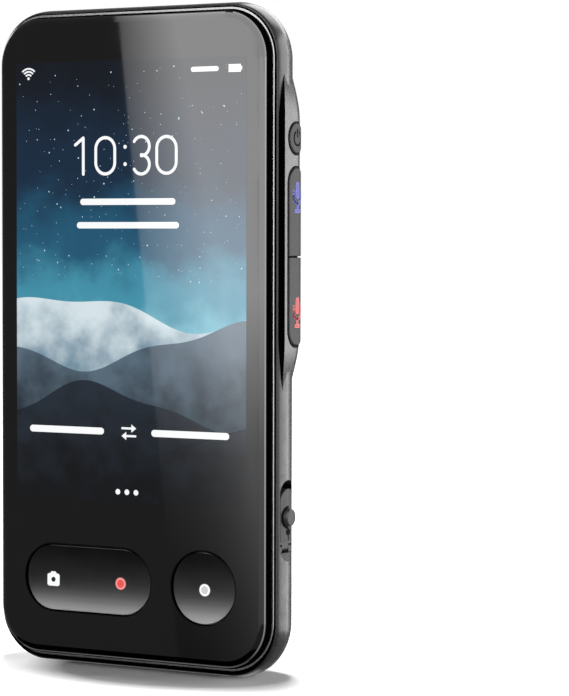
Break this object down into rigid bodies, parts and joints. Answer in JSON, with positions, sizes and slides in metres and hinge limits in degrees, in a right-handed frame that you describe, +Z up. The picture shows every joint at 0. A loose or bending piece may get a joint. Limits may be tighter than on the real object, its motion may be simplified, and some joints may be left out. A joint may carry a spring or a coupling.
{
  "type": "handheld translator",
  "caption": "Pocket translator: upright handset with a touch screen, glossy front keys, side microphone keys on a raised platform and a hinged port cover.",
  "frame": {"origin": "centre of the base, standing upright on the flat of the bottom edge", "axes": "+Z up the handset, -Y the way the screen faces, +X to the right as the screen is looked at"},
  "size_m": [0.0664, 0.015, 0.13],
  "materials": {
    "frame_plastic": "satin",
    "cover_plastic": "fine texture",
    "grille_plastic": "satin",
    "black_plastic": "matte",
    "window_gloss": "gloss",
    "key_gloss": "gloss",
    "side_key_plastic": "satin",
    "glass": "polished",
    "panel_glass": "polished",
    "ring_metal": "satin",
    "sheet_metal": "satin",
    "pin_steel": "plain",
    "board_green": "solder mask",
    "battery_wrap": "satin",
    "flex_amber": "satin",
    "tape_black": "matte",
    "seal_rubber": "matte"
  },
  "bodies": {
    "housing": {"mid_frame": "frame_plastic", "rear_cover": "cover_plastic", "front_glass": "glass", "bezel_ring": "ring_metal", "glass_tape": "tape_black", "display_panel": "panel_glass", "backlight": "sheet_metal", "mid_plate": "sheet_metal", "camera_window": "window_gloss", "camera_lens_ring": "ring_metal", "camera_lens": "glass", "camera_module": "black_plastic", "camera_barrel": "black_plastic", "speaker_grille": "grille_plastic", "speaker": "black_plastic", "speaker_gasket": "seal_rubber", "speaker_mesh": "sheet_metal", "key_carrier": "black_plastic", "rocker_pin": "pin_steel", "front_key_board": "board_green", "front_key_domes": "pin_steel", "side_switch_board": "board_green", "side_switches": "black_plastic", "port_hinge_block": "frame_plastic", "port_hinge_pin": "pin_steel", "usb_shell": "pin_steel", "usb_tongue": "black_plastic", "usb_board": "board_green", "battery": "battery_wrap", "battery_tape": "tape_black", "battery_lead": "tape_black", "main_board": "board_green", "rf_shield": "sheet_metal", "processor": "black_plastic", "memory_chips": "black_plastic", "board_connectors": "black_plastic", "microphones": "sheet_metal", "antenna_flex": "flex_amber", "display_flex": "flex_amber", "cover_screws": "pin_steel", "board_screws": "pin_steel"},
    "power_button": {"power_button": "side_key_plastic"},
    "mic_key_upper": {"mic_key_upper": "side_key_plastic"},
    "mic_key_lower": {"mic_key_lower": "side_key_plastic"},
    "rocker_key": {"rocker_key": "key_gloss"},
    "home_key": {"home_key": "key_gloss"},
    "port_cover": {"port_cover": "frame_plastic"}
  },
  "joints": [
    {"name": "power_button_press", "type": "slide", "parent": "housing", "child": "power_button", "axis": [-1, 0, 0], "range_m": [0, 0.0004], "stiffness_N_per_m": 1500},
    {"name": "mic_key_upper_press", "type": "slide", "parent": "housing", "child": "mic_key_upper", "axis": [-1, 0, 0], "range_m": [0, 0.0004], "stiffness_N_per_m": 1500},
    {"name": "mic_key_lower_press", "type": "slide", "parent": "housing", "child": "mic_key_lower", "axis": [-1, 0, 0], "range_m": [0, 0.0004], "stiffness_N_per_m": 1500},
    {"name": "home_key_press", "type": "slide", "parent": "housing", "child": "home_key", "axis": [0, 1, 0], "range_m": [0, 0.0003], "stiffness_N_per_m": 2000},
    {"name": "rocker_key_tilt", "type": "hinge", "parent": "housing", "child": "rocker_key", "pos_m": [-0.0098, -0.004, 0.01705], "axis": [0, 0, 1], "range_deg": [-1.5, 1.5], "stiffness_Nm_per_rad": 0.2},
    {"name": "port_cover_hinge", "type": "hinge", "parent": "housing", "child": "port_cover", "pos_m": [0.0313, -0.00135, 0.0252], "axis": [0, 1, 0], "range_deg": [0, 90]}
  ]
}
